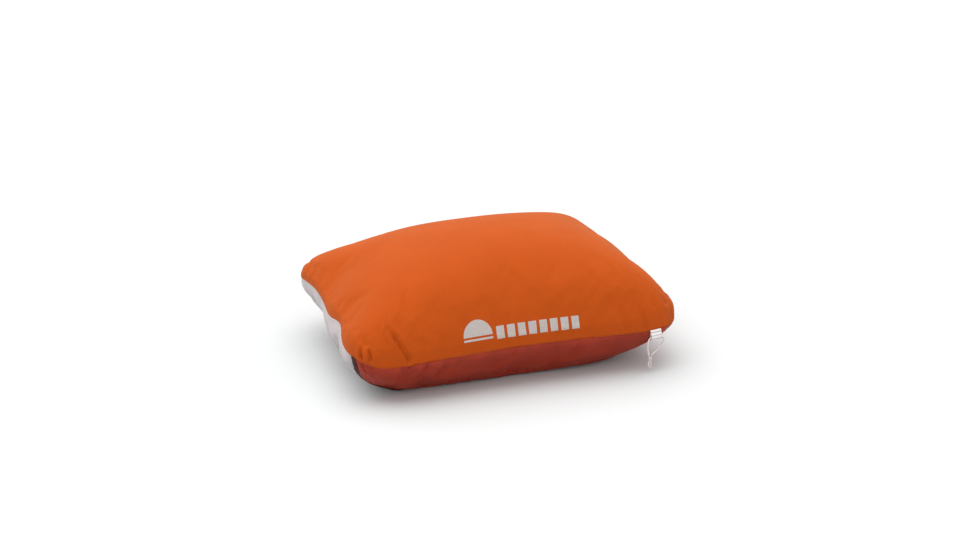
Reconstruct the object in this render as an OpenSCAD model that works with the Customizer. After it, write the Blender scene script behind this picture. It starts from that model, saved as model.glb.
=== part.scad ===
// Compressible camp pillow: a foam core under a loft layer, in a sewn two-tone cover with a stow
// pocket that opens at the left end, and a side label that carries a small cord loop.
// Millimetres. +X is the pillow's right, -Y its front, +Z up. The origin is the middle of the
// resting face.

/* [Pillow] */
// Overall length, corner to corner
pillow_l = 340; // [300:5:420]
// Overall width, corner to corner
pillow_w = 236; // [216:2:296]
// Height of the crown's middle above the resting face
pillow_h = 127; // [110:1:140]
// Squareness of the corners in plan
corner_power = 6; // [5:0.5:8]
// How far the short ends pull in between their corners, as a share
end_pull = 0.06; // [0.02:0.01:0.1]
// How far the long sides pull in between their corners, as a share
side_pull = 0.07; // [0.02:0.01:0.1]
// How much fuller the crown is towards the front, as a share
front_lean = 0.03; // [0:0.01:0.06]
// How much fuller the crown is towards the right, as a share
right_lean = 0.03; // [0:0.01:0.06]

/* [Seam] */
// Height of the perimeter seam at the front left corner
seam_front_left_h = 36; // [32:1:46]
// Height of the perimeter seam at the front right corner
seam_front_right_h = 40; // [32:1:46]
// Height of the perimeter seam at the back left corner
seam_back_left_h = 57; // [40:1:60]
// Height of the perimeter seam at the back right corner
seam_back_right_h = 40; // [34:1:56]
// How much higher the seam is at the middle of a long side
side_arch = 6; // [0:1:10]
// How much higher the seam is at the middle of a short end
end_arch = 16; // [0:1:20]
// Width of the tape over the raw edges inside
tape_w = 5; // [4:0.5:6]

/* [Layers] */
// Thickness of the brushed knit on top
knit_t = 0.9; // [0.7:0.1:1]
// Thickness of the woven fabric underneath
woven_t = 0.7; // [0.5:0.1:0.8]
// Thickness of the loft layer over the foam
loft_t = 10; // [8:1:12]

/* [Stow pocket] */
// How far the pocket's mouth bows in from the left end, as a share of the half length
mouth_bow = 0.5; // [0.3:0.05:0.6]
// Where the mouth leaves the seam near the front, as a share of the half width
mouth_front = 0.75; // [0.6:0.05:0.8]
// Where the mouth leaves the seam near the back, as a share of the half width
mouth_back = 0.9; // [0.6:0.05:0.9]
// Width of the folded tape that binds the mouth
binding_w = 7; // [5:0.5:9]

/* [Side label] */
// Width of the folded label along the seam
label_w = 12; // [11:0.5:15]
// Drop of the label from the seam to its fold
label_drop = 7; // [6.5:0.5:9]
// How far out from upright the label hangs
label_tilt = 5; // [2:1:12]
// Where the label is sewn, as a share of the half length
label_u = 0.81; // [0.7:0.01:0.86]
// Diameter of the cord looped through the label
cord_d = 1.6; // [1.4:0.1:1.8]

/* [Hidden] */

// Crown and bowl profiles: how the height falls from the middle to the seam.
middle_power = 2.2; // squareness of the plan's contours near the middle
contour_blend = 3; // how late the contours turn from round to square
crown_power = 2.1;
crown_fullness = 0.52;
bowl_power = 2;
bowl_fullness = 0.75;
left_fullness = 0.2; // how much steeper the bowl's wall is at the left end
bowl_drop = 29; // how far the bowl would pass the resting face if that did not flatten it

layer_gap = 0.4; // clearance between neighbouring layers
pocket_slack = 2; // space inside the flat pocket
rim_gap = 0.25; // from the seam line to the rim of each panel
foam_inset = 8; // from the seam line to the foam's lower edge
core_reach = 0.985; // how much of the crown the loft layer and the foam's top cover
mouth_steps = 24;
front_rows = 4; // rows of facets between a long side and the mouth's end
thread_d = 0.6;
tape_t = 0.8;
print_t = 0.2;
label_t = 0.5;
label_off = 0.5; // from the seam line to the label's sewn edge
cord_play = 0.6; // clearance around the cord in the label's fold
cord_sides = 8;
knot_d = 4.4;
knot_h = 5;

// The cord's route through the label, in the label's own plane: along the seam, then up.
// It starts at the knot, climbs on the left, passes the fold near height 0 and comes down again.
cord_route = [
  [-7.7, -18.5], [-8.5, -16], [-9.1, -13.4], [-9.4, -10.6], [-9.4, -7.8], [-9.2, -5.2],
  [-8.8, -3], [-7.8, -1.2], [-6.2, -0.2], [-3, 0], [0, 0], [3, 0], [6.2, -0.2], [7.8, -1.2],
  [8.8, -3], [8.8, -5.3], [7.8, -7.5], [6.2, -9.5], [4.4, -11.4], [2.4, -13.1], [0, -14.8],
  [-2.5, -16.6], [-5.3, -18.5]
];
knot_x = -6.5; // where the knot hangs along the seam, from the middle of the label
tail_routes = [
  [[-7.4, -24.4], [-8, -26], [-8.2, -28], [-7.8, -30]],
  [[-5.6, -24.4], [-5.6, -26.5], [-5.9, -29], [-6.4, -31.5]]
];

// The print, measured along the seam and up from it on the front of the crown.
sun_x = -46;
sun_foot = 17;
sun_r = 15;
line_foot = 13;
line_h = 2;
bars = 8;
bars_from = -27;
bars_to = 61;
bars_foot = 11.5;
bars_h = 12;
bar_fill = 0.72;

steps = [30, 24]; // facets along and across each layer
ring_steps = 96;

knit_colour = "#c8551c";
woven_colour = "#7c2b1e";
pale_colour = "#d6cccb";
binding_colour = "#2c120c";
foam_colour = "#e9e2c8";
loft_colour = "#f4f4f2";
label_colour = "#f0e9e6";
thread_colour = "#8a3a20";
print_colour = "#cfc4bf";

// The plan is a squared ellipse whose sides pull in between the corners. The corners reach less
// than the ellipse's half axes, so those are grown until the overall size is right.
function power_at(k) = middle_power + (corner_power - middle_power) * pow(k, contour_blend);
function super_r(c, s, power) = pow(pow(abs(c), power) + pow(abs(s), power), -1 / power);
function pulled(along, across, pull) = along * (1 - pull * (1 - across * across));
reach_l = max([
  for (t = [0:1:60])
    let (r = super_r(cos(t), sin(t), corner_power))
    pulled(r * cos(t), r * sin(t), end_pull)
]);
reach_w = max([
  for (t = [30:1:90])
    let (r = super_r(cos(t), sin(t), corner_power))
    pulled(r * sin(t), r * cos(t), side_pull)
]);
half_l = pillow_l / 2 / reach_l;
half_w = pillow_w / 2 / reach_w;

// u runs from the left end to the right end and v from front to back, both from -1 to 1.
function share(u, v) = max(abs(u), abs(v));
function edge(u, v) =
  let (n = max(norm([u, v]), 1e-6), c = u / n, s = v / n, k = share(u, v))
  super_r(c == 0 && s == 0 ? 1 : c, s, power_at(k)) * [c, s];
function plan(u, v, inset) =
  let (k = share(u, v), e = edge(u, v))
  [
    k * pulled(e[0], e[1], end_pull) * (half_l - inset),
    k * pulled(e[1], e[0], side_pull) * (half_w - inset)
  ];
function seam_z(u, v) =
  let (e = edge(u, v), back = (1 + e[1]) / 2, right = (1 + e[0]) / 2)
  (1 - back) * (seam_front_left_h * (1 - right) + seam_front_right_h * right)
  + back * (seam_back_left_h * (1 - right) + seam_back_right_h * right)
  + side_arch * (1 - e[0] * e[0]) * abs(e[1])
  + end_arch * (1 - e[1] * e[1]) * abs(e[0]);
function crown_top(u, v) = pillow_h * (1 + right_lean * u - front_lean * v);

// A point of the crown, drawn in from the sides by inset and from the top by sunk.
function crown_at(u, v, inset, sunk) =
  let (
    p = plan(u, v, inset),
    rim = seam_z(u, v) + rim_gap,
    rise = pow(max(0, 1 - pow(share(u, v), crown_power)), crown_fullness)
  )
  [p[0], p[1], rim + (crown_top(u, v) - sunk - rim) * rise];

// A point of the bowl below the seam, flattened where the pillow rests.
function bowl_at(u, v, inset, raised) =
  let (
    p = plan(u, v, inset),
    rim = seam_z(u, v) - rim_gap,
    wall = bowl_fullness - left_fullness * pow(max(0, -edge(u, v)[0]), 4),
    fall = pow(max(0, 1 - pow(share(u, v), bowl_power)), wall)
  )
  [p[0], p[1], max(raised, rim - (rim + bowl_drop - raised) * fall)];

// Steps that crowd towards both ends of a span, where the pillow curves most.
function crowded(i, n, from, to) = from + (to - from) * (1 + sin(90 * (2 * i / n - 1))) / 2;

// Faces of a closed solid whose points are rings of the same size, one after another.
function ring_faces(rings, size, closed) = concat(
  [
    for (r = [0:(closed ? rings - 1 : rings - 2)], k = [0:size - 1], half = [0, 1])
      let (
        a = r * size + k,
        b = r * size + (k + 1) % size,
        c = ((r + 1) % rings) * size + k,
        d = ((r + 1) % rings) * size + (k + 1) % size
      )
      half == 0 ? [a, b, d] : [a, d, c]
  ],
  closed ? [] : [[for (k = [size - 1:-1:0]) k]],
  closed ? [] : [[for (k = [0:size - 1]) (rings - 1) * size + k]]
);

// A solid swept through a list of rings of points.
module swept(rings, closed = false) {
  polyhedron(
    [for (ring = rings, point = ring) point],
    ring_faces(len(rings), len(rings[0]), closed),
    convexity = 6
  );
}

// A closed solid between two grids of points, the upper one first.
module between(upper, lower) {
  rows = len(upper);
  cols = len(upper[0]);
  function at(low, r, c) = low * rows * cols + r * cols + c;
  cells = [for (r = [0:rows - 2], c = [0:cols - 2]) [r, c]];
  skin = [
    for (cell = cells, low = [0, 1], half = [0, 1])
      let (
        r = cell[0],
        c = cell[1],
        a = at(low, r, c),
        b = at(low, r, c + 1),
        d = at(low, r + 1, c),
        e = at(low, r + 1, c + 1)
      )
      low == 0 ? (half == 0 ? [a, e, d] : [a, b, e]) : (half == 0 ? [a, d, e] : [a, e, b])
  ];
  rim = concat(
    [for (c = [0:cols - 2]) [at(0, 0, c), at(0, 0, c + 1), at(1, 0, c + 1), at(1, 0, c)]],
    [
      for (c = [0:cols - 2])
        [at(0, rows - 1, c + 1), at(0, rows - 1, c), at(1, rows - 1, c), at(1, rows - 1, c + 1)]
    ],
    [for (r = [0:rows - 2]) [at(0, r + 1, 0), at(0, r, 0), at(1, r, 0), at(1, r + 1, 0)]],
    [
      for (r = [0:rows - 2])
        [at(0, r, cols - 1), at(0, r + 1, cols - 1), at(1, r + 1, cols - 1), at(1, r, cols - 1)]
    ]
  );
  split = [for (f = rim, half = [0, 1]) half == 0 ? [f[0], f[2], f[1]] : [f[0], f[3], f[2]]];
  polyhedron(
    [for (grid = [upper, lower], row = grid, point = row) point],
    concat(split, skin),
    convexity = 6
  );
}

// Grids over the crown and the bowl, out to the share reach.
function crown_grid(inset, sunk, reach = 1) = [
  for (i = [0:steps[0]]) [
    for (j = [0:steps[1]])
      let (u = crowded(i, steps[0], -reach, reach), v = crowded(j, steps[1], -reach, reach))
      crown_at(u, v, inset, sunk)
  ]
];
function bowl_grid(inset, raised) = [
  for (i = [0:steps[0]]) [
    for (j = [0:steps[1]])
      bowl_at(crowded(i, steps[0], -1, 1), crowded(j, steps[1], -1, 1), inset, raised)
  ]
];

module top_panel() {
  color(knit_colour) between(crown_grid(0, 0), crown_grid(knit_t, knit_t));
}

// The mouth leaves the seam near both left corners and bows in under the pillow between them.
// turn runs from 0 at the front to 180 at the back, and the line grows outwards from the mouth.
mouth_middle = (mouth_back - mouth_front) / 2;
mouth_half = (mouth_back + mouth_front) / 2;
function mouth_at(turn, grow) = [
  -1 + (mouth_bow + grow / half_l) * sin(turn),
  mouth_middle - (mouth_half + grow / half_w) * cos(turn)
];

// The base panel's cut edge: along the left seam, round the binding, and along the seam again.
cut_edge = concat(
  [
    for (j = [0:front_rows - 1])
      [-1, -1 + (mouth_at(0, binding_w)[1] + 1) * j / front_rows]
  ],
  [for (j = [0:mouth_steps]) mouth_at(crowded(j, mouth_steps, 0, 180), binding_w)],
  [
    for (j = [front_rows - 1:-1:0])
      [-1, 1 + (mouth_at(180, binding_w)[1] - 1) * j / front_rows]
  ]
);

module base_panel() {
  function grid(t) = [
    for (i = [0:steps[0]])
      [for (c = cut_edge) bowl_at(crowded(i, steps[0], c[0], 1), c[1], t, t)]
  ];
  color(woven_colour) between(grid(woven_t), grid(0));
}

// The tape folds over the panel's cut edge, so it lies flush with the panel and meets it.
module mouth_binding() {
  edge_gap = 0.1;
  function grid(t) = [
    for (grow = [0, binding_w / 2, binding_w - edge_gap]) [
      for (j = [0:mouth_steps])
        let (p = mouth_at(crowded(j, mouth_steps, 0, 180), grow)) bowl_at(p[0], p[1], t, t)
    ]
  ];
  color(binding_colour) between(grid(woven_t), grid(0));
}

pocket_out = woven_t + pocket_slack;
pocket_in = pocket_out + woven_t;

module pocket_panel() {
  color(pale_colour)
    between(bowl_grid(pocket_in, pocket_in), bowl_grid(pocket_out, pocket_out));
}

loft_out = knit_t + layer_gap;
loft_in = loft_out + loft_t;

module loft_layer() {
  color(loft_colour)
    between(
      crown_grid(loft_out, loft_out, core_reach),
      crown_grid(loft_in, loft_in, core_reach)
    );
}

module foam_core() {
  color(foam_colour)
    between(
      crown_grid(loft_in + layer_gap, loft_in + layer_gap, core_reach),
      bowl_grid(foam_inset, pocket_in + 2 * layer_gap)
    );
}

// A point on the seam line, drawn in by inset and raised by lift.
function seam_at(turn, inset, lift) =
  let (
    m = max(abs(cos(turn)), abs(sin(turn))),
    u = cos(turn) / m,
    v = sin(turn) / m,
    p = plan(u, v, inset)
  )
  [p[0], p[1], seam_z(u, v) + lift];
function ring_turn(i) = 360 * i / ring_steps;

module seam_tape() {
  inner = foam_inset - layer_gap;
  low = thread_d + layer_gap;
  color(pale_colour)
    swept(
      [
        for (i = [0:ring_steps - 1])
          let (t = ring_turn(i))
          [
            seam_at(t, inner - tape_w, low),
            seam_at(t, inner - tape_w, low + tape_t),
            seam_at(t, inner, low + tape_t),
            seam_at(t, inner, low)
          ]
      ],
      closed = true
    );
}

module seam_thread() {
  middle = pocket_in + layer_gap + thread_d;
  sides = 6;
  color(thread_colour)
    swept(
      [
        for (i = [0:ring_steps - 1]) [
          for (k = [0:sides - 1])
            let (a = 360 * k / sides)
            seam_at(ring_turn(i), middle - cos(a) * thread_d / 2, sin(a) * thread_d / 2)
        ]
      ],
      closed = true
    );
}

// The label's own frame: the seam line at the label, with +X along it and +Y inwards.
label_seat = seam_at(atan2(-1, label_u), 0, 0);
label_ahead = seam_at(atan2(-1, label_u + 0.02), 0, 0);
label_turn = atan2(label_ahead[1] - label_seat[1], label_ahead[0] - label_seat[0]);
module at_label() {
  translate(label_seat) rotate([0, 0, label_turn]) translate([0, -label_off, 0]) children();
}

fold_r = cord_d / 2 + cord_play + label_t;
fold_y = -label_drop * sin(label_tilt);
fold_z = -label_drop * cos(label_tilt);

// A wedge that opens from its tip and ends in a round of radius r.
module drop_profile(reach, r) {
  spread = asin(r / reach);
  side = reach * cos(spread);
  circle(r, $fn = 32);
  polygon([
    [0, reach],
    [-side * sin(spread), reach - side * cos(spread)],
    [side * sin(spread), reach - side * cos(spread)]
  ]);
}

module side_label() {
  inner_reach = label_drop - label_t * label_drop / fold_r;
  color(label_colour)
    at_label()
      translate([-label_w / 2, fold_y, fold_z])
        rotate([90, 0, 90])
          rotate([0, 0, -label_tilt])
            linear_extrude(label_w)
              difference() {
                drop_profile(label_drop, fold_r);
                drop_profile(inner_reach, fold_r - label_t);
              }
}

// A tube along points in the plane of the hanging cord, as [along the seam, up].
module hung_tube(route, d) {
  last = len(route) - 1;
  rings = [
    for (i = [0:last])
      let (
        ahead = route[min(i + 1, last)],
        behind = route[max(i - 1, 0)],
        dir = (ahead - behind) / norm(ahead - behind)
      )
      [
        for (k = [0:cord_sides - 1])
          let (a = 360 * k / cord_sides, side = cos(a) * d / 2, out = sin(a) * d / 2)
          [route[i][0] - dir[1] * side, out, route[i][1] + dir[0] * side]
      ]
  ];
  translate([0, fold_y, fold_z]) swept(rings);
}

module tag_cord() {
  color(label_colour) at_label() hung_tube(cord_route, cord_d);
}

module cord_knot() {
  top = min([for (p = cord_route) p[1]]) - layer_gap;
  color(label_colour)
    at_label()
      translate([knot_x, fold_y, fold_z + top - knot_h])
        rotate_extrude($fn = 24)
          polygon([
            [0, 0],
            [knot_d / 3, 0],
            [knot_d / 2, knot_h / 4],
            [knot_d / 2, knot_h * 3 / 4],
            [knot_d / 3, knot_h],
            [0, knot_h]
          ]);
}

module cord_tails() {
  color(label_colour) at_label() for (route = tail_routes) hung_tube(route, cord_d);
}

// A point of the crown's front, x along the seam and h up from it, raised off the knit.
function front_at(x, h, raised) =
  let (
    u = x / half_l,
    full = crown_top(u, -1) - seam_z(u, -1),
    k = pow(1 - pow(h / full, 1 / crown_fullness), 1 / crown_power)
  )
  crown_at(u, -k, -raised, -raised);

module printed(outline_grid) {
  between(
    [for (row = outline_grid) [for (p = row) front_at(p[0], p[1], print_t + 0.1)]],
    [for (row = outline_grid) [for (p = row) front_at(p[0], p[1], 0.1)]]
  );
}
function block(x0, x1, h0, h1, nx, nh) = [
  for (i = [0:nx]) [for (j = [0:nh]) [x0 + (x1 - x0) * i / nx, h0 + (h1 - h0) * j / nh]]
];

module print_sun() {
  slices = 12;
  color(print_colour) {
    printed([
      for (i = [0:slices])
        let (a = 174 - 168 * i / slices)
        [for (j = [0:4]) [sun_x + sun_r * cos(a), sun_foot + sun_r * sin(a) * j / 4]]
    ]);
    printed(block(sun_x - sun_r, sun_x + sun_r, line_foot, line_foot + line_h, 6, 1));
  }
}

module print_bars() {
  pitch = (bars_to - bars_from) / bars;
  color(print_colour)
    for (i = [0:bars - 1])
      let (x = bars_from + pitch * i)
      printed(block(x, x + pitch * bar_fill, bars_foot, bars_foot + bars_h, 2, 4));
}

top_panel();
base_panel();
pocket_panel();
mouth_binding();
foam_core();
loft_layer();
seam_tape();
seam_thread();
side_label();
tag_cord();
cord_knot();
cord_tails();
print_sun();
print_bars();
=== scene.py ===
import math

import bpy
import numpy as np
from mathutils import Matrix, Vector


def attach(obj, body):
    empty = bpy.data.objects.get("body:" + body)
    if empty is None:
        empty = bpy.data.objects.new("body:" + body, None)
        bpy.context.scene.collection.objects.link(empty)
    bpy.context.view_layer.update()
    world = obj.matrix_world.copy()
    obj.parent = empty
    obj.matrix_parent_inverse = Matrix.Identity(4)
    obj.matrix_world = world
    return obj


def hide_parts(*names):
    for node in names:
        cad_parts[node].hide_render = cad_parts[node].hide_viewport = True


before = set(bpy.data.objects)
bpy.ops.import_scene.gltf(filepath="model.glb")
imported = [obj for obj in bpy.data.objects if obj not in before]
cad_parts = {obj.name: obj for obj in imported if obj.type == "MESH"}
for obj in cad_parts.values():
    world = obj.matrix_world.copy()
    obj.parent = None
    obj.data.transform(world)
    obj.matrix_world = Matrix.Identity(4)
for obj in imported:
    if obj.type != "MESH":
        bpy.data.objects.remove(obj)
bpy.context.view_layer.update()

# ---------------------------------------------------------------- sizes of the pillow, in metres
# The plan is a rounded box, pulled in between its corners. The crown is higher to the right and front.
PILLOW_L = 0.340
PILLOW_W = 0.236
CROWN_H = 0.127
CORNER_POWER = 6
MIDDLE_POWER = 2.2
CONTOUR_BLEND = 3
END_PULL = 0.06
SIDE_PULL = 0.07
FRONT_LEAN = 0.03
RIGHT_LEAN = 0.03

# The seam's height at the four corners, how far it arches between them, and how far it turns in.
SEAM_FRONT_LEFT = 0.036
SEAM_FRONT_RIGHT = 0.040
SEAM_BACK_LEFT = 0.057
SEAM_BACK_RIGHT = 0.040
SIDE_ARCH = 0.006
END_ARCH = 0.016
SEAM_GROOVE = 0.0008
GROOVE_FROM = 0.988

# Local lumps of the filled cover: the middle of each, how far it reaches, and how it moves there.
LUMPS = [
    ((0.150, 0.042, 0.088), 0.042, (-0.009, -0.002, -0.011)),
    ((0.155, -0.035, 0.084), 0.034, (-0.006, 0.001, -0.006)),
    ((0.158, -0.058, 0.074), 0.016, (-0.002, -0.001, -0.004)),
    ((0.163, -0.072, 0.072), 0.014, (-0.002, 0.001, -0.004)),
    ((0.122, 0.060, 0.102), 0.036, (0.003, 0.002, 0.003)),
    ((-0.113, 0.089, 0.095), 0.045, (0.001, -0.002, -0.003)),
    ((-0.152, 0.015, 0.082), 0.036, (0.003, 0.0, -0.005)),
    ((-0.150, -0.050, 0.074), 0.030, (0.003, 0.001, -0.004)),
    ((-0.168, 0.055, 0.045), 0.036, (0.005, -0.003, 0.002)),
    ((-0.166, -0.015, 0.038), 0.022, (-0.004, -0.002, -0.004)),
    ((-0.160, -0.062, 0.030), 0.024, (-0.003, 0.002, 0.002)),
    ((-0.168, -0.038, 0.057), 0.020, (0.004, -0.001, 0.005)),
    ((-0.160, -0.101, 0.043), 0.014, (0.002, 0.0, 0.002)),
    ((-0.150, -0.096, 0.016), 0.024, (0.005, -0.004, -0.002)),
    ((-0.120, -0.088, 0.004), 0.018, (0.0, -0.003, -0.002)),
]

# Creases: where each starts and ends, how wide it is and how deep.
TOP_CREASES = [
    ((-0.134, -0.103, 0.076), (-0.118, -0.118, 0.046), 0.0025, 0.0055),
    ((-0.161, -0.100, 0.058), (-0.161, -0.104, 0.048), 0.0020, 0.0040),
    ((-0.154, -0.106, 0.058), (-0.153, -0.110, 0.049), 0.0020, 0.0035),
    ((0.036, -0.112, 0.066), (0.034, -0.117, 0.047), 0.0035, 0.0015),
    ((0.070, -0.112, 0.066), (0.072, -0.117, 0.046), 0.0035, 0.0015),
    ((0.100, -0.111, 0.068), (0.106, -0.117, 0.046), 0.0035, 0.0020),
    ((0.121, -0.108, 0.070), (0.126, -0.116, 0.046), 0.0040, 0.0020),
    ((0.150, 0.095, 0.075), (0.160, 0.106, 0.052), 0.0035, 0.0035),
    ((0.138, 0.104, 0.078), (0.146, 0.113, 0.052), 0.0030, 0.0030),
    ((-0.142, 0.100, 0.084), (-0.154, 0.109, 0.066), 0.0035, 0.0030),
    ((-0.156, 0.088, 0.084), (-0.166, 0.094, 0.068), 0.0030, 0.0030),
    ((0.154, -0.098, 0.062), (0.160, -0.106, 0.050), 0.0025, 0.0025),
]
BOTTOM_CREASES = [
    ((-0.163, -0.104, 0.042), (-0.159, -0.105, 0.033), 0.0015, 0.0065),
    ((-0.129, -0.109, 0.025), (-0.118, -0.118, 0.039), 0.0020, 0.0055),
    ((-0.124, -0.107, 0.020), (-0.112, -0.116, 0.037), 0.0020, 0.0040),
    ((-0.108, -0.105, 0.018), (-0.098, -0.116, 0.035), 0.0030, 0.0045),
    ((-0.088, -0.105, 0.019), (-0.079, -0.114, 0.034), 0.0030, 0.0040),
    ((-0.030, -0.103, 0.019), (-0.010, -0.112, 0.034), 0.0050, 0.0035),
    ((0.045, -0.102, 0.018), (0.060, -0.112, 0.033), 0.0050, 0.0035),
    ((0.125, -0.102, 0.024), (0.140, -0.112, 0.038), 0.0035, 0.0045),
    ((0.145, 0.090, 0.020), (0.160, 0.103, 0.038), 0.0030, 0.0055),
    ((0.120, 0.100, 0.020), (0.132, 0.112, 0.040), 0.0035, 0.0050),
    ((-0.110, 0.100, 0.026), (-0.123, 0.113, 0.052), 0.0035, 0.0050),
]

# A crease acts this far along the surface's normal, is full from half its length, and has low ridges.
CREASE_DEEP = 0.015
CREASE_OPENS = (-0.3, 0.5)
RIDGE_SHARE = 0.55
RIDGE_SPREAD = 5

# Puckers at the seam: how deep they are, and how far they reach as a share of the way to the middle.
GATHER_DEPTH = 0.0005
GATHER_TOP = 0.07
GATHER_BOTTOM = 0.12

# The powers that round the crown and the underside, and how far the underside is pressed flat.
CROWN_POWER = 2.1
CROWN_FULLNESS = 0.52
BOWL_POWER = 2
BOWL_FULLNESS = 0.75
LEFT_FULLNESS = 0.2
BOWL_DROP = 0.029

# The layers of the cover and the filling.
KNIT_T = 0.0009
WOVEN_T = 0.0007
LOFT_T = 0.010
LAYER_GAP = 0.0004
FOAM_INSET = 0.008
CORE_REACH = 0.985

# The pocket's mouth is half an oval in the underside, open to the left end and bound with tape.
MOUTH_BOW = 0.5
MOUTH_FRONT = 0.75
MOUTH_BACK = 0.9
MOUTH_MIDDLE = (MOUTH_BACK - MOUTH_FRONT) / 2
MOUTH_HALF = (MOUTH_BACK + MOUTH_FRONT) / 2
BINDING_W = 0.007
BINDING_T = 0.0006
LINING_GAP = 0.0018
LINING_BULGE = 0.0010
LINING_WAVES = 0.0006
LINING_ROLL = 0.0010
LINING_FRONT = 0.0006
LINING_SHOWN = 0.12
LINING_FORWARD = 0.03
LINING_ROLL_SPAN = (0.975, 0.992, 0.996, 1.0)
LINING_FRONT_V = (-0.3, -0.6)
LINING_FRONT_INSIDE = (0.4, 0.1)
LINING_CLEAR = 0.0003

# The mouth's edge, or lip, stands off the lining in soft waves. Spans are angles round the mouth from its
# front end: where an effect starts, where it is full, where it begins to fade and where it ends.
LIP_H = 0.0024
LIP_LOW = 0.3
LIP_REACH = 0.008
LIP_LENS = 0.32
LIP_START = 0.05
LIP_FADE = (0.75, 0.6)
LIP_OVER = 0.005
LIP_OVER_SPAN = (0, 0.1, 0.12, 0.3)
LIP_BACK = 0.006
LIP_BACK_SPAN = (0.15, 0.4, 0.9, 1.2)

THREAD_D = 0.0006
STITCHES = 300
TAPE_W = 0.005
TAPE_T = 0.0008

LABEL_U = 0.81
LABEL_W = 0.012
LABEL_DROP = 0.007
LABEL_TILT = math.radians(5)
LABEL_T = 0.0005
LABEL_OFF = 0.0005
LABEL_TUCK = 0.0015
LABEL_BOW = 0.0003
CORD_D = 0.0016
CORD_PLAY = 0.0006
FOLD_R = CORD_D / 2 + CORD_PLAY + LABEL_T

# The cord's route in the label's plane: along the seam and up from the fold, in metres.
CORD_ROUTE = [
    (-0.0077, -0.0185), (-0.0085, -0.0160), (-0.0091, -0.0134), (-0.0094, -0.0106),
    (-0.0094, -0.0078), (-0.0092, -0.0052), (-0.0088, -0.0030), (-0.0078, -0.0012),
    (-0.0062, -0.0002), (-0.0030, 0.0), (0.0, 0.0), (0.0030, 0.0), (0.0062, -0.0002),
    (0.0078, -0.0012), (0.0088, -0.0030), (0.0088, -0.0053), (0.0078, -0.0075),
    (0.0062, -0.0095), (0.0044, -0.0114), (0.0024, -0.0131), (0.0, -0.0148),
    (-0.0025, -0.0166), (-0.0053, -0.0185),
]
TAIL_ROUTES = [
    [(-0.0074, -0.0238), (-0.0080, -0.0260), (-0.0082, -0.0280), (-0.0078, -0.0300)],
    [(-0.0056, -0.0238), (-0.0056, -0.0265), (-0.0059, -0.0290), (-0.0064, -0.0315)],
]
KNOT_MIDDLE = (-0.0065, -0.0213)
KNOT_SIZE = (0.0015, 0.0012, 0.0019)

# The print: a half-disc over a line, and a row of bars. Heights are measured up from the seam.
DISC_X = -0.046
DISC_FOOT = 0.017
DISC_R = 0.015
LINE_FOOT = 0.013
LINE_H = 0.002
BARS = 8
BARS_FROM = -0.027
BARS_TO = 0.061
BARS_FOOT = 0.0115
BARS_H = 0.012
BAR_FILL = 0.72
PRINT_OFF = 0.00015

# How many points the meshes have along each curve, and how coarse the simulation's mesh is.
COLS = 161
ROWS = 121
MOUTH_POINTS = 145
CORNER_POINTS = 12
BINDING_POINTS = 241
LEAF_POINTS = 4
FOLD_POINTS = 9
TAPE_POINTS = 768
STITCH_POINTS = 8
THREAD_SIDES = 8
KNOT_POINTS = 96
LABEL_POINTS = 25
SIM_STEP = 2

# The simulation: its frames, how far it may move a point, and the edge and rest that it holds.
SIM_FRAMES = 20
SIM_CAP = 0.0018
SIM_HELD = 0.985
REST_TOUCH = 0.0005

# ---------------------------------------------------------------- camera and studio
CAMERA_TURN = math.radians(-19.1)
CAMERA_TILT = math.radians(21.1)
CAMERA_AWAY = 2.676
CAMERA_LENS = 97.6
CAMERA_AIM = Vector((0.0080, 0.0110, 0.0710))
WORLD_LIGHT = 1.1
OVERHEAD_TOWARDS = (-0.10, 0.30, 0.94)
OVERHEAD_LIGHT = 2.55
OVERHEAD_SPREAD = math.radians(80)
FLOOR_SIZE = 40


def make_camera():
    back = Vector((
        math.sin(CAMERA_TURN) * math.cos(CAMERA_TILT),
        -math.cos(CAMERA_TURN) * math.cos(CAMERA_TILT),
        math.sin(CAMERA_TILT),
    ))
    camera = bpy.data.objects.new("camera", bpy.data.cameras.new("camera"))
    bpy.context.scene.collection.objects.link(camera)
    camera.data.lens = CAMERA_LENS
    camera.data.sensor_width = 36
    camera.location = CAMERA_AIM + back * CAMERA_AWAY
    camera.rotation_euler = (-back).to_track_quat("-Z", "Y").to_euler()
    bpy.context.scene.camera = camera


def make_overhead_light():
    light = bpy.data.objects.new("overhead", bpy.data.lights.new("overhead", "SUN"))
    bpy.context.scene.collection.objects.link(light)
    light.data.energy = OVERHEAD_LIGHT
    light.data.angle = OVERHEAD_SPREAD
    light.rotation_euler = (-Vector(OVERHEAD_TOWARDS)).to_track_quat("-Z", "Y").to_euler()


def make_studio():
    scene = bpy.context.scene
    scene.view_settings.view_transform = "Standard"
    world = bpy.data.worlds.new("studio")
    scene.world = world
    world.use_nodes = True
    background = world.node_tree.nodes["Background"]
    background.inputs["Color"].default_value = (1, 1, 1, 1)
    background.inputs["Strength"].default_value = WORLD_LIGHT
    make_overhead_light()
    bpy.ops.mesh.primitive_plane_add(size=FLOOR_SIZE)
    floor = bpy.context.object
    floor.name = "floor"
    floor.data.materials.append(floor_paint())


# ---------------------------------------------------------------- materials
# A rib's or a thread's period is in metres on the cloth, and a bump's depth is in metres too.
def new_material(name, roughness, specular=0.3):
    material = bpy.data.materials.new(name)
    material.use_nodes = True
    shader = material.node_tree.nodes["Principled BSDF"]
    shader.inputs["Roughness"].default_value = roughness
    shader.inputs["Specular IOR Level"].default_value = specular
    return material, material.node_tree, shader


def coordinates(tree, stretch=(1, 1, 1), source="UV"):
    place = tree.nodes.new("ShaderNodeTexCoord")
    mapping = tree.nodes.new("ShaderNodeMapping")
    mapping.inputs["Scale"].default_value = stretch
    tree.links.new(place.outputs[source], mapping.inputs["Vector"])
    return mapping.outputs["Vector"]


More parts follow.
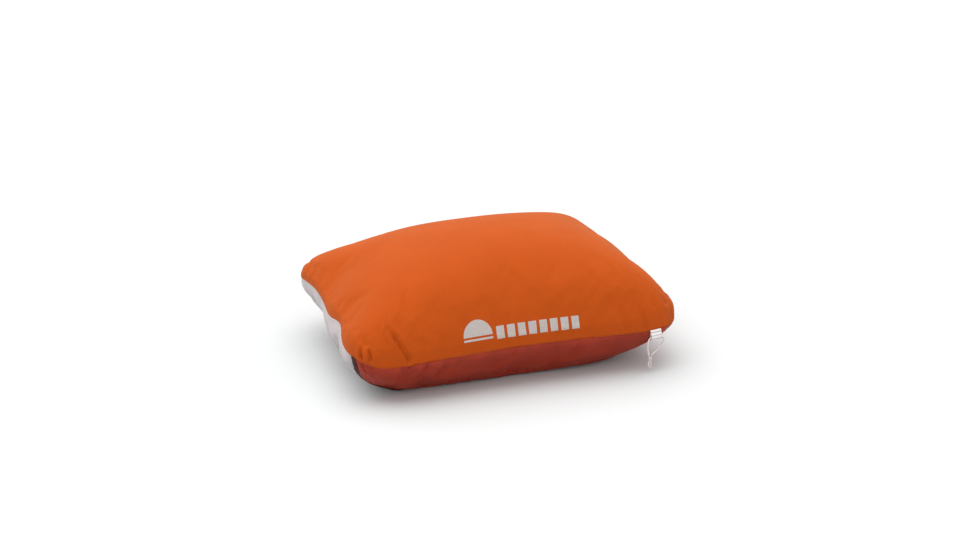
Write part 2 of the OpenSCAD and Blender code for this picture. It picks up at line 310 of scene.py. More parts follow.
def fuzz(tree, where, scale, detail=4):
    noise = tree.nodes.new("ShaderNodeTexNoise")
    noise.inputs["Scale"].default_value = scale
    noise.inputs["Detail"].default_value = detail
    tree.links.new(where, noise.inputs["Vector"])
    return noise.outputs["Fac"]


def ribs(tree, where, period, axis, distortion=0.0):
    wave = tree.nodes.new("ShaderNodeTexWave")
    wave.bands_direction = axis
    wave.inputs["Scale"].default_value = math.pi / 10 / period
    wave.inputs["Distortion"].default_value = distortion
    wave.inputs["Detail"].default_value = 1
    tree.links.new(where, wave.inputs["Vector"])
    return wave.outputs["Fac"]


def between_colours(tree, shader, amount, dark, light, low=0.3, high=0.7):
    ramp = tree.nodes.new("ShaderNodeValToRGB")
    ramp.color_ramp.elements[0].position = low
    ramp.color_ramp.elements[1].position = high
    ramp.color_ramp.elements[0].color = (*dark, 1)
    ramp.color_ramp.elements[1].color = (*light, 1)
    tree.links.new(amount, ramp.inputs["Fac"])
    tree.links.new(ramp.outputs["Color"], shader.inputs["Base Color"])


def combine(tree, first, second, how):
    node = tree.nodes.new("ShaderNodeMath")
    node.operation = how
    tree.links.new(first, node.inputs[0])
    tree.links.new(second, node.inputs[1])
    return node.outputs[0]


def average(tree, first, second):
    mix = tree.nodes.new("ShaderNodeMix")
    tree.links.new(first, mix.inputs["A"])
    tree.links.new(second, mix.inputs["B"])
    return mix.outputs["Result"]


def bump(tree, shader, height, depth):
    node = tree.nodes.new("ShaderNodeBump")
    node.inputs["Distance"].default_value = depth
    tree.links.new(height, node.inputs["Height"])
    tree.links.new(node.outputs["Normal"], shader.inputs["Normal"])


def set_sheen(shader, weight, tint):
    shader.inputs["Sheen Weight"].default_value = weight
    shader.inputs["Sheen Roughness"].default_value = 0.5
    shader.inputs["Sheen Tint"].default_value = (*tint, 1)


def floor_paint():
    material, tree, shader = new_material("floor_paint", roughness=0.9, specular=0.0)
    where = coordinates(tree, source="Object")
    between_colours(tree, shader, fuzz(tree, where, scale=2), (0.556, 0.566, 0.566), (0.568, 0.578, 0.578))
    return material


def brushed_knit():
    material, tree, shader = new_material("brushed_knit", roughness=0.9, specular=0.15)
    set_sheen(shader, 0.06, (0.5, 0.9, 0.35))
    where = coordinates(tree)
    tone = average(tree, fuzz(tree, where, scale=25), fuzz(tree, where, scale=900))
    between_colours(tree, shader, tone, (0.380, 0.0535, 0.0018), (0.435, 0.0635, 0.0028))
    wales = ribs(tree, where, period=0.0016, axis="X", distortion=1.5)
    bump(tree, shader, combine(tree, wales, fuzz(tree, where, scale=1300), "ADD"), depth=0.00012)
    return material


def plain_weave(name, dark, light, roughness, sheen):
    material, tree, shader = new_material(name, roughness, specular=0.25)
    set_sheen(shader, sheen, light)
    where = coordinates(tree)
    between_colours(tree, shader, fuzz(tree, where, scale=45), dark, light)
    warp = ribs(tree, where, period=0.0009, axis="X")
    weft = ribs(tree, where, period=0.0009, axis="Y")
    bump(tree, shader, combine(tree, warp, weft, "MAXIMUM"), depth=0.00008)
    return material


def rust_weave():
    dark, light = (0.246, 0.0178, 0.0032), (0.300, 0.0225, 0.0048)
    return plain_weave("rust_weave", dark, light, roughness=0.5, sheen=0.02)


def pale_weave():
    dark, light = (0.39, 0.345, 0.345), (0.46, 0.415, 0.42)
    return plain_weave("pale_weave", dark, light, roughness=0.6, sheen=0.1)


def tape_weave():
    dark, light = (0.55, 0.48, 0.47), (0.65, 0.58, 0.57)
    return plain_weave("tape_weave", dark, light, roughness=0.7, sheen=0.05)


def ribbed_tape():
    material, tree, shader = new_material("ribbed_tape", roughness=0.75)
    where = coordinates(tree)
    tone = fuzz(tree, where, scale=300)
    between_colours(tree, shader, tone, (0.032, 0.0095, 0.007), (0.048, 0.015, 0.011))
    bump(tree, shader, ribs(tree, where, period=0.0009, axis="X"), depth=0.00015)
    return material


def twisted_thread():
    material, tree, shader = new_material("twisted_thread", roughness=0.6)
    where = coordinates(tree, source="Object")
    between_colours(tree, shader, fuzz(tree, where, scale=900), (0.16, 0.035, 0.015), (0.30, 0.07, 0.03))
    bump(tree, shader, ribs(tree, where, period=0.0006, axis="DIAGONAL"), depth=0.0001)
    return material


def woven_label():
    material, tree, shader = new_material("woven_label", roughness=0.7)
    where = coordinates(tree)
    stripes = ribs(tree, where, period=0.0034, axis="Y")
    between_colours(tree, shader, stripes, (0.32, 0.30, 0.30), (0.76, 0.71, 0.70), 0.06, 0.16)
    warp = ribs(tree, where, period=0.0006, axis="X")
    weft = ribs(tree, where, period=0.0006, axis="Y")
    bump(tree, shader, combine(tree, warp, weft, "MAXIMUM"), depth=0.00006)
    return material


def braided_cord():
    material, tree, shader = new_material("braided_cord", roughness=0.7)
    where = coordinates(tree, source="Object")
    braid = ribs(tree, where, period=0.0009, axis="DIAGONAL")
    strands = average(tree, braid, fuzz(tree, where, scale=1500))
    between_colours(tree, shader, strands, (0.57, 0.50, 0.49), (0.68, 0.63, 0.61))
    bump(tree, shader, strands, depth=0.00015)
    return material


def soft_ink():
    material, tree, shader = new_material("soft_ink", roughness=0.8)
    where = coordinates(tree)
    between_colours(tree, shader, fuzz(tree, where, scale=700), (0.375, 0.33, 0.31), (0.44, 0.395, 0.375))
    bump(tree, shader, fuzz(tree, where, scale=1300), depth=0.0001)
    return material


def open_foam():
    material, tree, shader = new_material("open_foam", roughness=0.95)
    where = coordinates(tree, source="Object")
    cells = tree.nodes.new("ShaderNodeTexVoronoi")
    cells.inputs["Scale"].default_value = 500
    tree.links.new(where, cells.inputs["Vector"])
    between_colours(tree, shader, cells.outputs["Distance"], (0.60, 0.54, 0.36), (0.82, 0.77, 0.60))
    bump(tree, shader, cells.outputs["Distance"], depth=0.0006)
    return material


def fibre_wadding():
    material, tree, shader = new_material("fibre_wadding", roughness=1)
    where = coordinates(tree, (1, 1, 5), "Object")
    fibres = fuzz(tree, where, scale=200, detail=9)
    between_colours(tree, shader, fibres, (0.74, 0.74, 0.72), (0.93, 0.93, 0.91))
    bump(tree, shader, fibres, depth=0.002)
    return material


# ---------------------------------------------------------------- the pillow's shape
# u runs from the left end to the right end and v from front to back, both from -1 to 1.
def super_radius(c, s, power):
    return (np.abs(c) ** power + np.abs(s) ** power) ** (-1 / power)


def pulled(along, across, pull):
    return along * (1 - pull * (1 - across * across))


def half_axes():
    turn = np.linspace(0, math.pi / 2, 91)
    r = super_radius(np.cos(turn), np.sin(turn), CORNER_POWER)
    along, across = np.cos(turn) * r, np.sin(turn) * r
    reach_l = pulled(along, across, END_PULL).max()
    reach_w = pulled(across, along, SIDE_PULL).max()
    return PILLOW_L / 2 / reach_l, PILLOW_W / 2 / reach_w


HALF_L, HALF_W = half_axes()


def share(u, v):
    return np.maximum(np.abs(u), np.abs(v))


def edge(u, v):
    n = np.maximum(np.hypot(u, v), 1e-9)
    c, s = np.where(n > 1e-8, u / n, 1), v / n
    power = MIDDLE_POWER + (CORNER_POWER - MIDDLE_POWER) * share(u, v) ** CONTOUR_BLEND
    r = super_radius(c, s, power)
    return c * r, s * r


def plan(u, v, inset=0.0):
    k = share(u, v)
    along, across = edge(u, v)
    x = k * pulled(along, across, END_PULL) * (HALF_L - inset)
    y = k * pulled(across, along, SIDE_PULL) * (HALF_W - inset)
    return x, y


def seam_height(u, v):
    along, across = edge(u, v)
    back = (1 + across) / 2
    right = (1 + along) / 2
    front_z = SEAM_FRONT_LEFT * (1 - right) + SEAM_FRONT_RIGHT * right
    back_z = SEAM_BACK_LEFT * (1 - right) + SEAM_BACK_RIGHT * right
    side = SIDE_ARCH * (1 - along**2) * np.abs(across)
    end = END_ARCH * (1 - across**2) * np.abs(along)
    return front_z * (1 - back) + back_z * back + side + end


def crown_top(u, v):
    return CROWN_H * (1 + RIGHT_LEAN * u - FRONT_LEAN * v)


def crown(u, v, inset=0.0, sunk=0.0):
    x, y = plan(u, v, inset)
    rim = seam_height(u, v)
    rise = np.maximum(0, 1 - share(u, v) ** CROWN_POWER) ** CROWN_FULLNESS
    return np.stack([x, y, rim + (crown_top(u, v) - sunk - rim) * rise], -1)


def bowl(u, v, inset=0.0, raised=0.0):
    x, y = plan(u, v, inset)
    rim = seam_height(u, v)
    along, _ = edge(u, v)
    wall = BOWL_FULLNESS - LEFT_FULLNESS * np.maximum(0, -along) ** 4
    fall = np.maximum(0, 1 - share(u, v) ** BOWL_POWER) ** wall
    z = rim - (rim + BOWL_DROP - raised) * fall
    return np.stack([x, y, np.maximum(raised, z)], -1)


def crowded(count, start=-1.0, end=1.0):
    turn = np.linspace(-math.pi / 2, math.pi / 2, count)
    return start + (end - start) * (1 + np.sin(turn)) / 2


def unit(vectors):
    return vectors / np.maximum(np.linalg.norm(vectors, axis=-1, keepdims=True), 1e-12)


def grid_normals(points):
    return unit(np.cross(np.gradient(points, axis=0), np.gradient(points, axis=1)))


def smooth_step(low, high, value):
    t = np.clip((value - low) / (high - low), 0, 1)
    return t * t * (3 - 2 * t)


def window(span, value):
    """1 between the span's two middle values, fading to 0 at its two outer ones."""
    start, full, fades, end = span
    return smooth_step(start, full, value) * smooth_step(end, fades, value)


class Skin:
    """A surface over the square of u and v, which can be read at any point of it."""

    def __init__(self, us, vs, points, side):
        self.us, self.vs, self.points = us, vs, points
        self.out = grid_normals(points) * side
        self.cloth = np.stack([self.walked(0), self.walked(1)], -1)

    def walked(self, axis):
        """How far each point is from the middle, measured over the cloth."""
        steps = np.linalg.norm(np.diff(self.points, axis=axis), axis=-1)
        pad = [(1, 0), (0, 0)] if axis == 0 else [(0, 0), (1, 0)]
        run = np.pad(np.cumsum(steps, axis=axis), pad)
        return run - np.take(run, [run.shape[axis] // 2], axis=axis)

    def read(self, grid, u, v):
        i = np.clip(np.interp(u, self.us, np.arange(len(self.us))), 0, len(self.us) - 1.001)
        j = np.clip(np.interp(v, self.vs, np.arange(len(self.vs))), 0, len(self.vs) - 1.001)
        i0, j0 = i.astype(int), j.astype(int)
        s, t = (i - i0)[..., None], (j - j0)[..., None]
        low = grid[i0, j0] * (1 - s) + grid[i0 + 1, j0] * s
        high = grid[i0, j0 + 1] * (1 - s) + grid[i0 + 1, j0 + 1] * s
        return low * (1 - t) + high * t

    def at(self, u, v, off=0.0):
        off = np.broadcast_to(off, np.shape(u))[..., None]
        return self.read(self.points, u, v) + unit(self.read(self.out, u, v)) * off

    def cloth_at(self, u, v):
        return self.read(self.cloth, u, v)


# ---------------------------------------------------------------- mesh helpers
def grid_faces(rows, cols, flip=False, first=0):
    index = first + np.arange(rows * cols).reshape(rows, cols)
    a, b = index[:-1, :-1].ravel(), index[1:, :-1].ravel()
    c, d = index[1:, 1:].ravel(), index[:-1, 1:].ravel()
    return np.stack([a, d, c, b] if flip else [a, b, c, d], -1)


def new_piece(name, points, faces, material, uv=None):
    mesh = bpy.data.meshes.new(name)
    mesh.from_pydata(np.asarray(points).reshape(-1, 3).tolist(), [], np.asarray(faces).tolist())
    mesh.update()
    if uv is not None:
        layer = mesh.uv_layers.new(name="cloth")
        loops = np.zeros(len(mesh.loops), int)
        mesh.loops.foreach_get("vertex_index", loops)
        layer.data.foreach_set("uv", np.asarray(uv, float).reshape(-1, 2)[loops].ravel())
    piece = bpy.data.objects.new(name, mesh)
    bpy.context.scene.collection.objects.link(piece)
    mesh.materials.append(material)
    mesh.polygons.foreach_set("use_smooth", [True] * len(mesh.polygons))
    return piece


def sheet_piece(name, skin, u, v, material, flip=False, off=0.0):
    points = skin.at(u, v, off)
    points[..., 2] = np.maximum(points[..., 2], 0)
    return new_piece(name, points, grid_faces(*u.shape, flip), material, skin.cloth_at(u, v))


def closed_piece(name, upper, lower, material):
    """A closed solid between two grids of the same size."""
    rows, cols = upper.shape[:2]
    count = rows * cols
    index = np.arange(count).reshape(rows, cols)
    rim = np.concatenate([index[:-1, 0], index[-1, :-1], index[:0:-1, -1], index[0, :0:-1]])
    ahead = np.roll(rim, -1)
    wall = np.stack([rim, rim + count, ahead + count, ahead], -1)
    faces = np.concatenate([
        grid_faces(rows, cols),
        grid_faces(rows, cols, True, count),
        wall,
    ])
    return new_piece(name, np.concatenate([upper.reshape(-1, 3), lower.reshape(-1, 3)]), faces, material)


def thicken(piece, depth):
    solid = piece.modifiers.new("thickness", "SOLIDIFY")
    solid.thickness = depth
    solid.offset = -1


def stands_for(piece, body, node):
    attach(piece, body)
    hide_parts(node)


# ---------------------------------------------------------------- the label and its cord
def seam_point(u):
    """The front seam at u."""
    x, y = plan(np.array(u), np.array(-1.0))
    return np.array([x, y, seam_height(np.array(u), np.array(-1.0))], float)


LABEL_SEAT = seam_point(LABEL_U)
LABEL_ALONG = unit((seam_point(LABEL_U + 0.02) - LABEL_SEAT) * (1, 1, 0))
LABEL_OUT = np.array([LABEL_ALONG[1], -LABEL_ALONG[0], 0])
UP = np.array([0, 0, 1.0])
FOLD_OUT = LABEL_DROP * math.sin(LABEL_TILT)
FOLD_UP = -LABEL_DROP * math.cos(LABEL_TILT)


def label_point(along, out, up):
    """A point in the label's frame: along the seam, out from the pillow, and up."""
    along, out, up = np.broadcast_arrays(along, out, up)
    axes = np.stack([LABEL_ALONG, LABEL_OUT, UP])
    return LABEL_SEAT + LABEL_OUT * LABEL_OFF + np.stack([along, out, up], -1) @ axes


def hung(route):
    """The points of a route in the label's plane, hung from the fold."""
    route = np.asarray(route, float)
    return label_point(route[:, 0], FOLD_OUT, FOLD_UP + route[:, 1])


def smooth_line(points, between=6):
    """A rounder line through the points, with between steps from each to the next."""
    points = np.asarray(points)
    padded = np.concatenate([2 * points[:1] - points[1:2], points, 2 * points[-1:] - points[-2:-1]])
    line = []
    for a, b, c, d in zip(padded, padded[1:], padded[2:], padded[3:]):
        for t in np.arange(between) / between:
            line.append(0.5 * (
                2 * b + (c - a) * t + (2 * a - 5 * b + 4 * c - d) * t**2
                + (3 * b - a - 3 * c + d) * t**3
            ))
    return np.array([*line, points[-1]])


def cord_curve(name, points, material, closed=False):
    curve = bpy.data.curves.new(name, "CURVE")
    curve.dimensions = "3D"
    curve.bevel_depth = CORD_D / 2
    curve.bevel_resolution = 4
    curve.use_fill_caps = True
    spline = curve.splines.new("POLY")
    spline.points.add(len(points) - 1)
    for spot, point in zip(spline.points, points):
        spot.co = (*point, 1)
    spline.use_cyclic_u = closed
    spline.use_smooth = True
    curve.materials.append(material)
    piece = bpy.data.objects.new(name, curve)
    bpy.context.scene.collection.objects.link(piece)
    return piece


def knot_line():
    """An overhand knot drawn tight: a trefoil with its loops close together."""
    turn = np.linspace(0, 2 * math.pi, KNOT_POINTS, endpoint=False)
    along = (np.sin(turn) + 2 * np.sin(2 * turn)) / 3
    up = (np.cos(turn) - 2 * np.cos(2 * turn)) / 3
    out = -np.sin(3 * turn)
    return label_point(
        KNOT_MIDDLE[0] + KNOT_SIZE[0] * along,
        FOLD_OUT + KNOT_SIZE[1] * out,
        FOLD_UP + KNOT_MIDDLE[1] + KNOT_SIZE[2] * up,
    )


def make_cord():
    material = braided_cord()
    knot = cord_curve("loop_knot", knot_line(), material, closed=True)
    stands_for(knot, "cord_loop", "cord_knot")
    for i, route in enumerate(TAIL_ROUTES):
        tail = cord_curve(f"cord_tail_{i + 1}", smooth_line(hung(route)), material)
        stands_for(tail, "cord_loop", "cord_tails")
    cord = cord_curve("tag_loop", smooth_line(hung(CORD_ROUTE)), material)
    stands_for(cord, "cord_loop", "tag_cord")
    tuple(hung([(0, 0)])[0])


def label_profile():
    """Down the outer leaf, round the cord and up the inner leaf, as (out, up) points."""
    radius = FOLD_R - LABEL_T / 2
    turn = np.linspace(math.radians(20), math.radians(-200), LABEL_POINTS)
    fold = np.stack([FOLD_OUT + radius * np.cos(turn), FOLD_UP + radius * np.sin(turn)], -1)
    sewn = LABEL_T / 2
    outer = [(-LABEL_TUCK, sewn), (0, sewn * 0.8), (sewn * 2, -LABEL_DROP * 0.25)]
    inner = [(-sewn, -LABEL_DROP * 0.3), (-sewn * 2, -sewn), (-LABEL_TUCK, -sewn)]
    return smooth_line(np.array([*outer, *fold, *inner]), 3)


def make_label():
    profile = label_profile()
    along = np.linspace(-LABEL_W / 2, LABEL_W / 2, LABEL_POINTS)
    bow = LABEL_BOW * np.cos(along / LABEL_W * math.pi)
    points = label_point(along[:, None], profile[None, :, 0] + bow[:, None], profile[None, :, 1])
    run = np.concatenate([[0], np.cumsum(np.linalg.norm(np.diff(profile, axis=0), axis=1))])
    uv = np.stack(np.meshgrid(along, run, indexing="ij"), -1)
    label = new_piece("woven_label", points, grid_faces(*points.shape[:2], True), woven_label(), uv)
    solid = label.modifiers.new("thickness", "SOLIDIFY")
    solid.thickness = LABEL_T
    solid.offset = 0
    stands_for(label, "label", "side_label")


# ---------------------------------------------------------------- the cover's shape
US, VS = crowded(COLS), crowded(ROWS)
U, V = np.meshgrid(US, VS, indexing="ij")
K = share(U, V)


def lumped(points):
    """The local lumps, which move every layer alike, and the flat rest."""
    for middle, reach, shove in LUMPS:
        near = np.exp(-((points - middle) ** 2).sum(-1) / reach**2)
        points = points + near[..., None] * shove
    points[..., 2] = np.maximum(points[..., 2], 0)
    return points


def grooved(points):
    """The panels turn in where the seam holds them."""
    inward = unit(-points * (1, 1, 0))
    return points + inward * (SEAM_GROOVE * smooth_step(GROOVE_FROM, 1, K))[..., None]


def gathered(points, side, reach):
    """Small puckers along the seam, which fade out over the reach.

    The numbers that multiply run are waves round the pillow, chosen so that none repeats.
    """
    x, y = points[..., 0], points[..., 1]
    run = np.arctan2(y / HALF_W, x / HALF_L)
    rows = np.sin(97 * run + 2 * np.sin(11 * run)) + 0.6 * np.sin(151 * run + 3 * np.sin(7 * run))
    patchy = 0.55 + 0.45 * np.sin(5 * run + 1.3) * np.sin(13 * run)
    fade = window((1 - reach, 0.995, 0.998, 1.0), K)
    return points + grid_normals(points) * (side * GATHER_DEPTH * rows * patchy * fade)[..., None]


def creased(points, creases, side):
    """Each crease is a soft valley with a low ridge on both sides."""
    out = grid_normals(points) * side
    lift = np.zeros(points.shape[:2])
    for start, end, width, depth in creases:
        start, end = np.array(start), np.array(end)
        to_middle = ((points - (start + end) / 2) ** 2).sum(-1)
        up = out[np.unravel_index(to_middle.argmin(), to_middle.shape)]
        line = end - start
        line = line - up * (line @ up)
        along = ((points - start) @ line) / (line @ line)
        gap = points - start - np.clip(along, 0, 1)[..., None] * line
        height = gap @ up
        off = ((gap**2).sum(-1) - height**2) / width**2
        here = smooth_step(*CREASE_OPENS, along) * np.exp(-((height / CREASE_DEEP) ** 2))
        lift += depth * here * (RIDGE_SHARE * np.exp(-off / RIDGE_SPREAD) - np.exp(-off))
    return points + out * lift[..., None]


def sim_mesh(top, bottom):
    rows, cols = top.shape[:2]
    points = np.concatenate([top.reshape(-1, 3), bottom.reshape(-1, 3)])
    faces = np.concatenate([grid_faces(rows, cols), grid_faces(rows, cols, True, rows * cols)])
    mesh = bpy.data.meshes.new("sim_cover")
    mesh.from_pydata(points.tolist(), [], faces.tolist())
    cover = bpy.data.objects.new("sim_cover", mesh)
    bpy.context.scene.collection.objects.link(cover)
    return cover, points


def simulated(top, bottom):
    """Both panels after a cloth simulation of the filled cover, with its seam and rest held."""
    coarse = (slice(None, None, SIM_STEP), slice(None, None, SIM_STEP))
    cover, before = sim_mesh(top[coarse], bottom[coarse])
    k = np.tile(K[coarse].ravel(), 2)
    resting = before[:, 2] < REST_TOUCH
    held = cover.vertex_groups.new(name="held")
    held.add(np.flatnonzero((k > SIM_HELD) | resting).tolist(), 1.0, "REPLACE")
    cloth = cover.modifiers.new("cloth", "CLOTH")
    cloth.settings.quality = 6
    cloth.settings.mass = 0.15
    cloth.settings.tension_stiffness = 15
    cloth.settings.compression_stiffness = 8
    cloth.settings.bending_stiffness = 0.05
    cloth.settings.shrink_min = -0.012
    cloth.settings.use_pressure = True
    cloth.settings.uniform_pressure_force = 1.2
    cloth.settings.vertex_group_mass = "held"
    cloth.settings.effector_weights.gravity = 0
    cloth.point_cache.frame_end = SIM_FRAMES
    for step in range(1, SIM_FRAMES + 1):
        bpy.context.scene.frame_set(step)
    solved = cover.evaluated_get(bpy.context.evaluated_depsgraph_get()).data
    after = np.zeros(len(before) * 3)
    solved.vertices.foreach_get("co", after)
    moved = after.reshape(-1, 3) - before
    bpy.data.objects.remove(cover)
    bpy.context.scene.frame_set(1)
    size = np.linalg.norm(moved, axis=1, keepdims=True)
    moved *= SIM_CAP * np.tanh(size / SIM_CAP) / np.maximum(size, 1e-9)
    panels = []
    for shape, part in zip((top, bottom), np.split(moved, 2)):
        skin = Skin(US[::SIM_STEP], VS[::SIM_STEP], part.reshape(*K[coarse].shape, 3), 1)
        panels.append(shape + skin.read(skin.points, U, V))
    panels[1][..., 2] = np.maximum(panels[1][..., 2], 0)
    return panels


def cover_shape():
    top, bottom = simulated(lumped(crown(U, V)), lumped(bowl(U, V)))
    top = creased(gathered(top, 1, GATHER_TOP), TOP_CREASES, 1)
    bottom = creased(gathered(bottom, -1, GATHER_BOTTOM), BOTTOM_CREASES, -1)
    bottom[..., 2] = np.maximum(bottom[..., 2], 0)
    return Skin(US, VS, grooved(top), 1), Skin(US, VS, grooved(bottom), -1)


# ---------------------------------------------------------------- the pocket's mouth
def inside_mouth(u, v):
    """How far a point of the bowl is inside the pocket's mouth, from 0 at its line."""
    return 1 - np.hypot((u + 1) / MOUTH_BOW, (v - MOUTH_MIDDLE) / MOUTH_HALF)


def mouth_at(turn, grow):
    """A point near the mouth's line, turned from its front end and grown outwards.

    The edge laps over the lining at the front end, and is drawn back further round.
    """
    out = grow - LIP_OVER * window(LIP_OVER_SPAN, turn) + LIP_BACK * window(LIP_BACK_SPAN, turn)
    u = -1 + (MOUTH_BOW + out / HALF_L) * np.sin(turn)
    v = MOUTH_MIDDLE - (MOUTH_HALF + out / HALF_W) * np.cos(turn)
    return u, v


def lip(u, v):
    """How far the mouth's edge stands off the lining: two soft waves near its front end."""
    past = np.maximum(0, -inside_mouth(u, v)) * MOUTH_HALF * HALF_W
    turn = np.arctan2((u + 1) / MOUTH_BOW, (MOUTH_MIDDLE - v) / MOUTH_HALF)
    wave = np.abs(np.sin(math.pi * turn / LIP_LENS)) * smooth_step(*LIP_FADE, turn)
    height = LIP_H * (LIP_LOW + (1 - LIP_LOW) * wave) * smooth_step(0, LIP_START, turn)
    return height * np.exp(-((past / LIP_REACH) ** 2))


# ---------------------------------------------------------------- the pieces of the cover
def make_top(skin):
    piece = sheet_piece("top_knit", skin, U, V, brushed_knit())
    thicken(piece, KNIT_T)
    stands_for(piece, "pillow", "top_panel")


def make_base(skin):
    """The panel runs from its left edge, which the mouth cuts into, to the right end."""
    turns = crowded(MOUTH_POINTS, 0, math.pi)
    mouth_u, mouth_v = mouth_at(turns, BINDING_W / 2)
    run = np.linspace(0, 1, CORNER_POINTS, endpoint=False)
    left_end = -np.ones(CORNER_POINTS)
    cut_u = np.concatenate([left_end, mouth_u, left_end])
    cut_v = np.concatenate([-1 + (mouth_v[0] + 1) * run, mouth_v, 1 + (mouth_v[-1] - 1) * run[::-1]])
    t, start = np.meshgrid(crowded(COLS, 0, 1), cut_u, indexing="ij")
    u, v = start + (1 - start) * t, np.broadcast_to(cut_v, t.shape)
    piece = sheet_piece("base_woven", skin, u, v, rust_weave(), True, lip(u, v))
    thicken(piece, WOVEN_T)
    stands_for(piece, "pillow", "base_panel")


def make_binding(skin):
    """A tape folded over the base panel's cut edge: an outer leaf, a round fold, an inner leaf."""
    half_t = WOVEN_T / 2 + BINDING_T
    fold = np.linspace(math.pi / 2, 3 * math.pi / 2, FOLD_POINTS)
    leaf = np.linspace(BINDING_W, half_t, LEAF_POINTS, endpoint=False)
    grow = np.concatenate([leaf, half_t + half_t * np.cos(fold), leaf[::-1]])
    off = np.concatenate([
        np.full(LEAF_POINTS, BINDING_T),
        -WOVEN_T / 2 + half_t * np.sin(fold),
        np.full(LEAF_POINTS, -WOVEN_T - BINDING_T),
    ])
    turns = crowded(BINDING_POINTS, 0, math.pi)
    g, t = np.meshgrid(grow, turns, indexing="ij")
    u, v = mouth_at(t, g)
    raised = np.maximum(lip(u, v), lip(*mouth_at(t, 0 * g))) * np.exp(-((g / LIP_REACH) ** 2))
    points = skin.at(u, v, off[:, None] + raised)
    points[..., 2] = np.maximum(points[..., 2], 0)
    run = np.stack(np.broadcast_arrays(skin.cloth_at(u, v)[..., 1], g), -1)
    piece = new_piece("mouth_tape", points, grid_faces(*u.shape), ribbed_tape(), run)
    stands_for(piece, "pillow", "mouth_binding")


def make_lining(skin):
    """The pale panel bulges where the mouth shows it, rolls at the seam, and lies inside elsewhere."""
    inside = inside_mouth(U, V)
    shown = smooth_step(0, LINING_SHOWN, inside)
    waves = LINING_BULGE + LINING_WAVES * np.sin(17 * V + 2 * np.sin(5 * V))
    front = LINING_FRONT * smooth_step(*LINING_FRONT_V, V) * smooth_step(*LINING_FRONT_INSIDE, inside)
    bulge = (waves + front) * shown * smooth_step(1.0, 0.98, K)
    roll = LINING_ROLL * shown * window(LINING_ROLL_SPAN, K)
    points = skin.at(U, V, bulge + roll - LINING_GAP * (1 - shown))
    inward = unit(-points * (1, 1, 0))
    points = points + inward * (LINING_GAP * (1 - smooth_step(0, LINING_FORWARD, inside)))[..., None]
    lowest = np.where(inside > 0, 0, WOVEN_T + LINING_CLEAR)
    points[..., 2] = np.maximum(points[..., 2], lowest)
    piece = new_piece("pocket_lining", points, grid_faces(*U.shape, True), pale_weave(), skin.cloth)
    thicken(piece, WOVEN_T)
    stands_for(piece, "pillow", "pocket_panel")


def make_filling(top):
    """The loft layer lies under the top panel, and the foam fills the rest of the cover."""
    loft_out = KNIT_T + LAYER_GAP
    loft_in = loft_out + LOFT_T
    foam_out = loft_in + LAYER_GAP
    u, v = U * CORE_REACH, V * CORE_REACH
    loft = closed_piece(
        "loft_wadding", top.at(u, v, -loft_out), lumped(crown(u, v, loft_in, loft_in)), fibre_wadding(),
    )
    stands_for(loft, "pillow", "loft_layer")
    floor = 2 * WOVEN_T + LINING_GAP + 2 * LAYER_GAP
    under = lumped(bowl(U, V, FOAM_INSET, floor))
    under[..., 2] = np.maximum(under[..., 2], floor)
    foam = closed_piece("foam_block", lumped(crown(u, v, foam_out, foam_out)), under, open_foam())
    stands_for(foam, "pillow", "foam_core")


def ring_piece(name, insets, lifts, material):
    """A closed band along the whole seam. Each column is one line of the band's section."""
    turn = np.linspace(0, 2 * math.pi, len(insets), endpoint=False)
    m = np.maximum(np.abs(np.cos(turn)), np.abs(np.sin(turn)))
    u, v = (np.cos(turn) / m)[:, None], (np.sin(turn) / m)[:, None]
    x, y = plan(u, v, insets)
    points = lumped(np.stack([x, y, seam_height(u, v) + lifts], -1))
    index = np.arange(points.shape[0] * points.shape[1]).reshape(points.shape[:2])
    index = np.pad(index, [(0, 1), (0, 1)], "wrap")
    faces = np.stack([index[:-1, :-1], index[1:, :-1], index[1:, 1:], index[:-1, 1:]], -1).reshape(-1, 4)
    return new_piece(name, points, faces, material)


def make_seam_tape():
    low = THREAD_D + LAYER_GAP
    high = low + TAPE_T
    inner = FOAM_INSET - LAYER_GAP
    outer = inner - TAPE_W
    rows = np.ones((TAPE_POINTS, 1))
    insets, lifts = rows * [outer, outer, inner, inner], rows * [low, high, high, low]
    tape = ring_piece("seam_binding", insets, lifts, tape_weave())
    stands_for(tape, "pillow", "seam_tape")


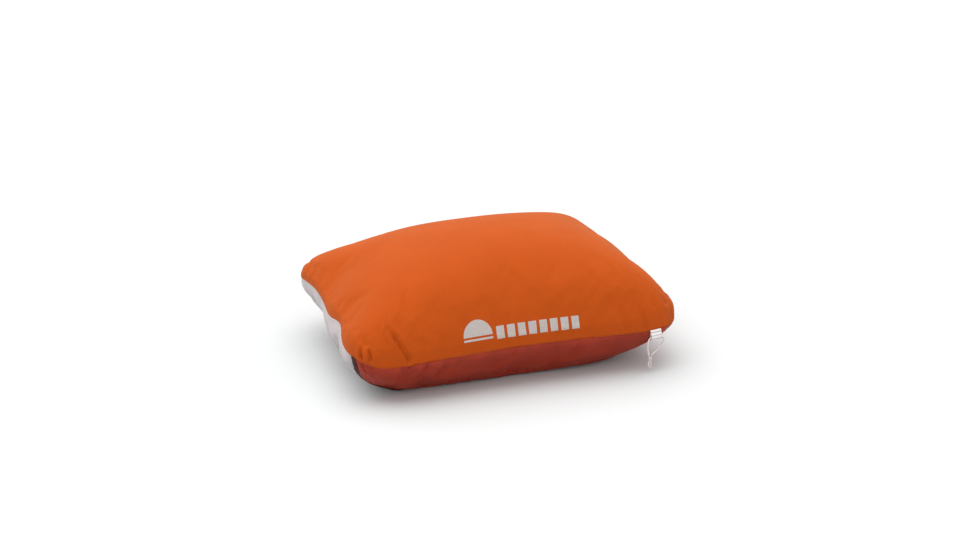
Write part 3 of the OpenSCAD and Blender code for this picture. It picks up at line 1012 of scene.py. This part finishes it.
def make_seam_thread():
    """A round thread that goes up and down once in each stitch."""
    run = np.arange(STITCHES * STITCH_POINTS)[:, None]
    side = np.linspace(0, 2 * math.pi, THREAD_SIDES, endpoint=False)
    stitch = 0.5 * THREAD_D * np.sin(2 * math.pi * run / STITCH_POINTS)
    middle = 2 * WOVEN_T + LINING_GAP + LAYER_GAP + THREAD_D
    insets = middle - np.cos(side) * THREAD_D / 2 + 0 * run
    lifts = np.sin(side) * THREAD_D / 2 + stitch
    thread = ring_piece("lock_stitch", insets, lifts, twisted_thread())
    stands_for(thread, "pillow", "seam_thread")


def front_uv(x, h):
    """The u and v of the crown's front, x along the pillow and h up from the seam."""
    u = x / HALF_L
    full = crown_top(u, -1.0) - seam_height(u, np.full_like(u, -1.0))
    k = (1 - (h / full) ** (1 / CROWN_FULLNESS)) ** (1 / CROWN_POWER)
    return u, -k


def printed(name, skin, x, h, material, node):
    u, v = front_uv(x, h)
    points = skin.at(u, v, PRINT_OFF)
    piece = new_piece(name, points, grid_faces(*u.shape), material, np.stack([x, h], -1))
    stands_for(piece, "pillow", node)


def spaced(start, end, count, low, high, rows):
    """A grid of x and h, or of angle and ring, evenly spaced both ways."""
    return np.meshgrid(np.linspace(start, end, count), np.linspace(low, high, rows), indexing="ij")


def make_print(skin):
    ink = soft_ink()
    angle, ring = spaced(math.pi, 0, 49, 0, 1, 13)
    x, h = DISC_X + DISC_R * ring * np.cos(angle), DISC_FOOT + DISC_R * ring * np.sin(angle)
    printed("print_half_disc", skin, x, h, ink, "print_sun")
    x, h = spaced(DISC_X - DISC_R, DISC_X + DISC_R, 31, LINE_FOOT, LINE_FOOT + LINE_H, 4)
    printed("print_line", skin, x, h, ink, "print_sun")
    pitch = (BARS_TO - BARS_FROM) / BARS
    for i in range(BARS):
        start = BARS_FROM + pitch * i
        x, h = spaced(start, start + pitch * BAR_FILL, 9, BARS_FOOT, BARS_FOOT + BARS_H, 13)
        printed(f"print_bar_{i + 1}", skin, x, h, ink, "print_bars")


make_camera()
make_cord()
make_label()
make_studio()
TOP, BOTTOM = cover_shape()
make_top(TOP)
make_base(BOTTOM)
make_binding(BOTTOM)
make_lining(BOTTOM)
make_filling(TOP)
make_seam_tape()
make_seam_thread()
make_print(TOP)
